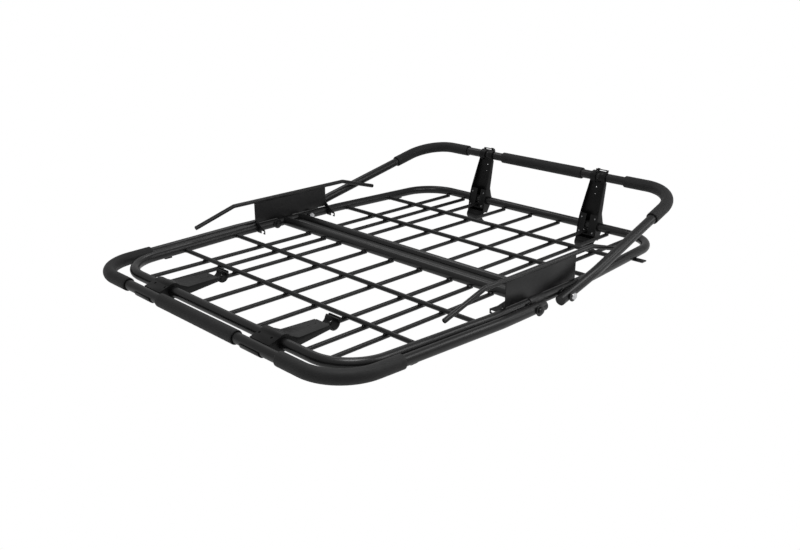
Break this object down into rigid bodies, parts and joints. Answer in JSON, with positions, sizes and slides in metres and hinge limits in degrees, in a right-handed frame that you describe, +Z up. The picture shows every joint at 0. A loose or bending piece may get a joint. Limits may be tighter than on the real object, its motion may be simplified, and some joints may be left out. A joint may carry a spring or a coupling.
{
  "type": "roof basket",
  "caption": "Open-frame car roof basket in two halves, with a bar deck, side plates and a folding, foam-sleeved hoop on rocker legs at each end.",
  "frame": {"origin": "middle of the seam between the two halves, on the underside of the lengthwise deck bars, where the basket lies on a car's roof bars", "axes": "+X towards the rear, the end with the raised hoop; +Z up; -Y is the left side, the near side in the picture"},
  "size_m": [1.3503, 1.085, 0.2422],
  "materials": {
    "tube": "satin black powder coat",
    "bars": "satin black powder coat",
    "sheet_steel": "satin black powder coat, smooth",
    "pressed_steel": "satin black powder coat, slightly textured",
    "foam": "matte closed-cell foam with a fine grain",
    "plug": "matte black plastic",
    "bolt": "zinc plated, bright"
  },
  "bodies": {
    "frame": {"front_frame_tube": "tube", "rear_frame_tube": "tube", "front_beam_tube": "tube", "rear_beam_tube": "tube", "front_deck_bars": "bars", "rear_deck_bars": "bars", "left_seam_sleeve": "sheet_steel", "right_seam_sleeve": "sheet_steel", "left_side_plate": "sheet_steel", "right_side_plate": "sheet_steel", "left_side_rod": "tube", "right_side_rod": "tube", "front_left_rest_tab": "sheet_steel", "front_right_rest_tab": "sheet_steel", "rear_left_rest_tab": "sheet_steel", "rear_right_rest_tab": "sheet_steel", "front_left_hinge_bolt": "bolt", "front_right_hinge_bolt": "bolt", "rear_left_hinge_bolt": "bolt", "rear_right_hinge_bolt": "bolt"},
    "front_hoop": {"front_hoop_tube": "tube", "front_hoop_plugs": "plug", "front_middle_foam": "foam", "front_left_foam": "foam", "front_right_foam": "foam"},
    "rear_hoop": {"rear_hoop_tube": "tube", "rear_hoop_plugs": "plug", "rear_middle_foam": "foam", "rear_left_foam": "foam", "rear_right_foam": "foam"},
    "front_left_leg": {"front_left_leg": "pressed_steel", "front_left_strap": "pressed_steel"},
    "front_right_leg": {"front_right_leg": "pressed_steel", "front_right_strap": "pressed_steel"},
    "rear_left_leg": {"rear_left_leg": "pressed_steel", "rear_left_strap": "pressed_steel"},
    "rear_right_leg": {"rear_right_leg": "pressed_steel", "rear_right_strap": "pressed_steel"}
  },
  "joints": [
    {"name": "front_hoop_fold", "type": "hinge", "parent": "frame", "child": "front_hoop", "pos_m": [-0.067, 0, 0.0205], "axis": [0, 1, 0], "range_deg": [0, 14.1]},
    {"name": "rear_hoop_fold", "type": "hinge", "parent": "frame", "child": "rear_hoop", "pos_m": [0.067, 0, 0.0205], "axis": [0, 1, 0], "range_deg": [0, 14.1]},
    {"name": "front_left_leg_swing", "type": "hinge", "parent": "frame", "child": "front_left_leg", "pos_m": [-0.611, -0.222, 0.0196], "axis": [0, 1, 0], "range_deg": [-104.34, 0]},
    {"name": "front_right_leg_swing", "type": "hinge", "parent": "frame", "child": "front_right_leg", "pos_m": [-0.611, 0.222, 0.0196], "axis": [0, 1, 0], "range_deg": [-104.34, 0]},
    {"name": "rear_left_leg_swing", "type": "hinge", "parent": "frame", "child": "rear_left_leg", "pos_m": [0.611, -0.222, 0.0196], "axis": [0, 1, 0], "range_deg": [-104.34, 0]},
    {"name": "rear_right_leg_swing", "type": "hinge", "parent": "frame", "child": "rear_right_leg", "pos_m": [0.611, 0.222, 0.0196], "axis": [0, 1, 0], "range_deg": [-104.34, 0]}
  ],
  "couplings": [
    {"joint": "front_left_leg_swing", "follows": "front_hoop_fold", "ratio": -7.399},
    {"joint": "front_right_leg_swing", "follows": "front_hoop_fold", "ratio": -7.399},
    {"joint": "rear_left_leg_swing", "follows": "rear_hoop_fold", "ratio": -7.399},
    {"joint": "rear_right_leg_swing", "follows": "rear_hoop_fold", "ratio": -7.399}
  ]
}
